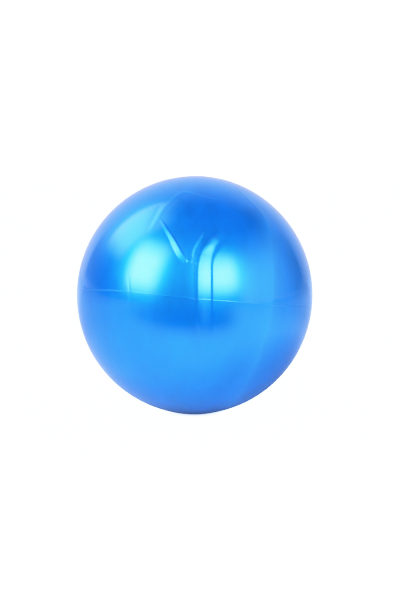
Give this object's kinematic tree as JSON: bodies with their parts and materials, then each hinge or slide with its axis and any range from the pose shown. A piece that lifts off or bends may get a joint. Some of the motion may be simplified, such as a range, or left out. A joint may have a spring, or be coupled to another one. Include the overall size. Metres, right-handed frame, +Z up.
{
  "type": "exercise ball",
  "caption": "Small smooth blown-up exercise ball of pearl blue PVC with a fine parting line and a push-in plug valve, for physiotherapy and floor exercise.",
  "frame": {"origin": "middle of the flat patch that the ball rests on", "axes": "+Z up from the floor, -Y towards the pictured front, +X to the right in the picture"},
  "size_m": [0.2501, 0.25, 0.2518],
  "materials": {
    "pearl_pvc": "pearl, glossy",
    "seat_pvc": "satin",
    "plug_pe": "satin, slightly waxy"
  },
  "bodies": {
    "ball": {"ball_shell": "pearl_pvc", "valve_seat": "seat_pvc"},
    "plug": {"valve_plug": "plug_pe"}
  },
  "joints": [
    {"name": "plug_pull", "type": "slide", "parent": "ball", "child": "plug", "axis": [0.0797, 0.1132, 0.9904], "range_m": [0, 0.03]}
  ]
}
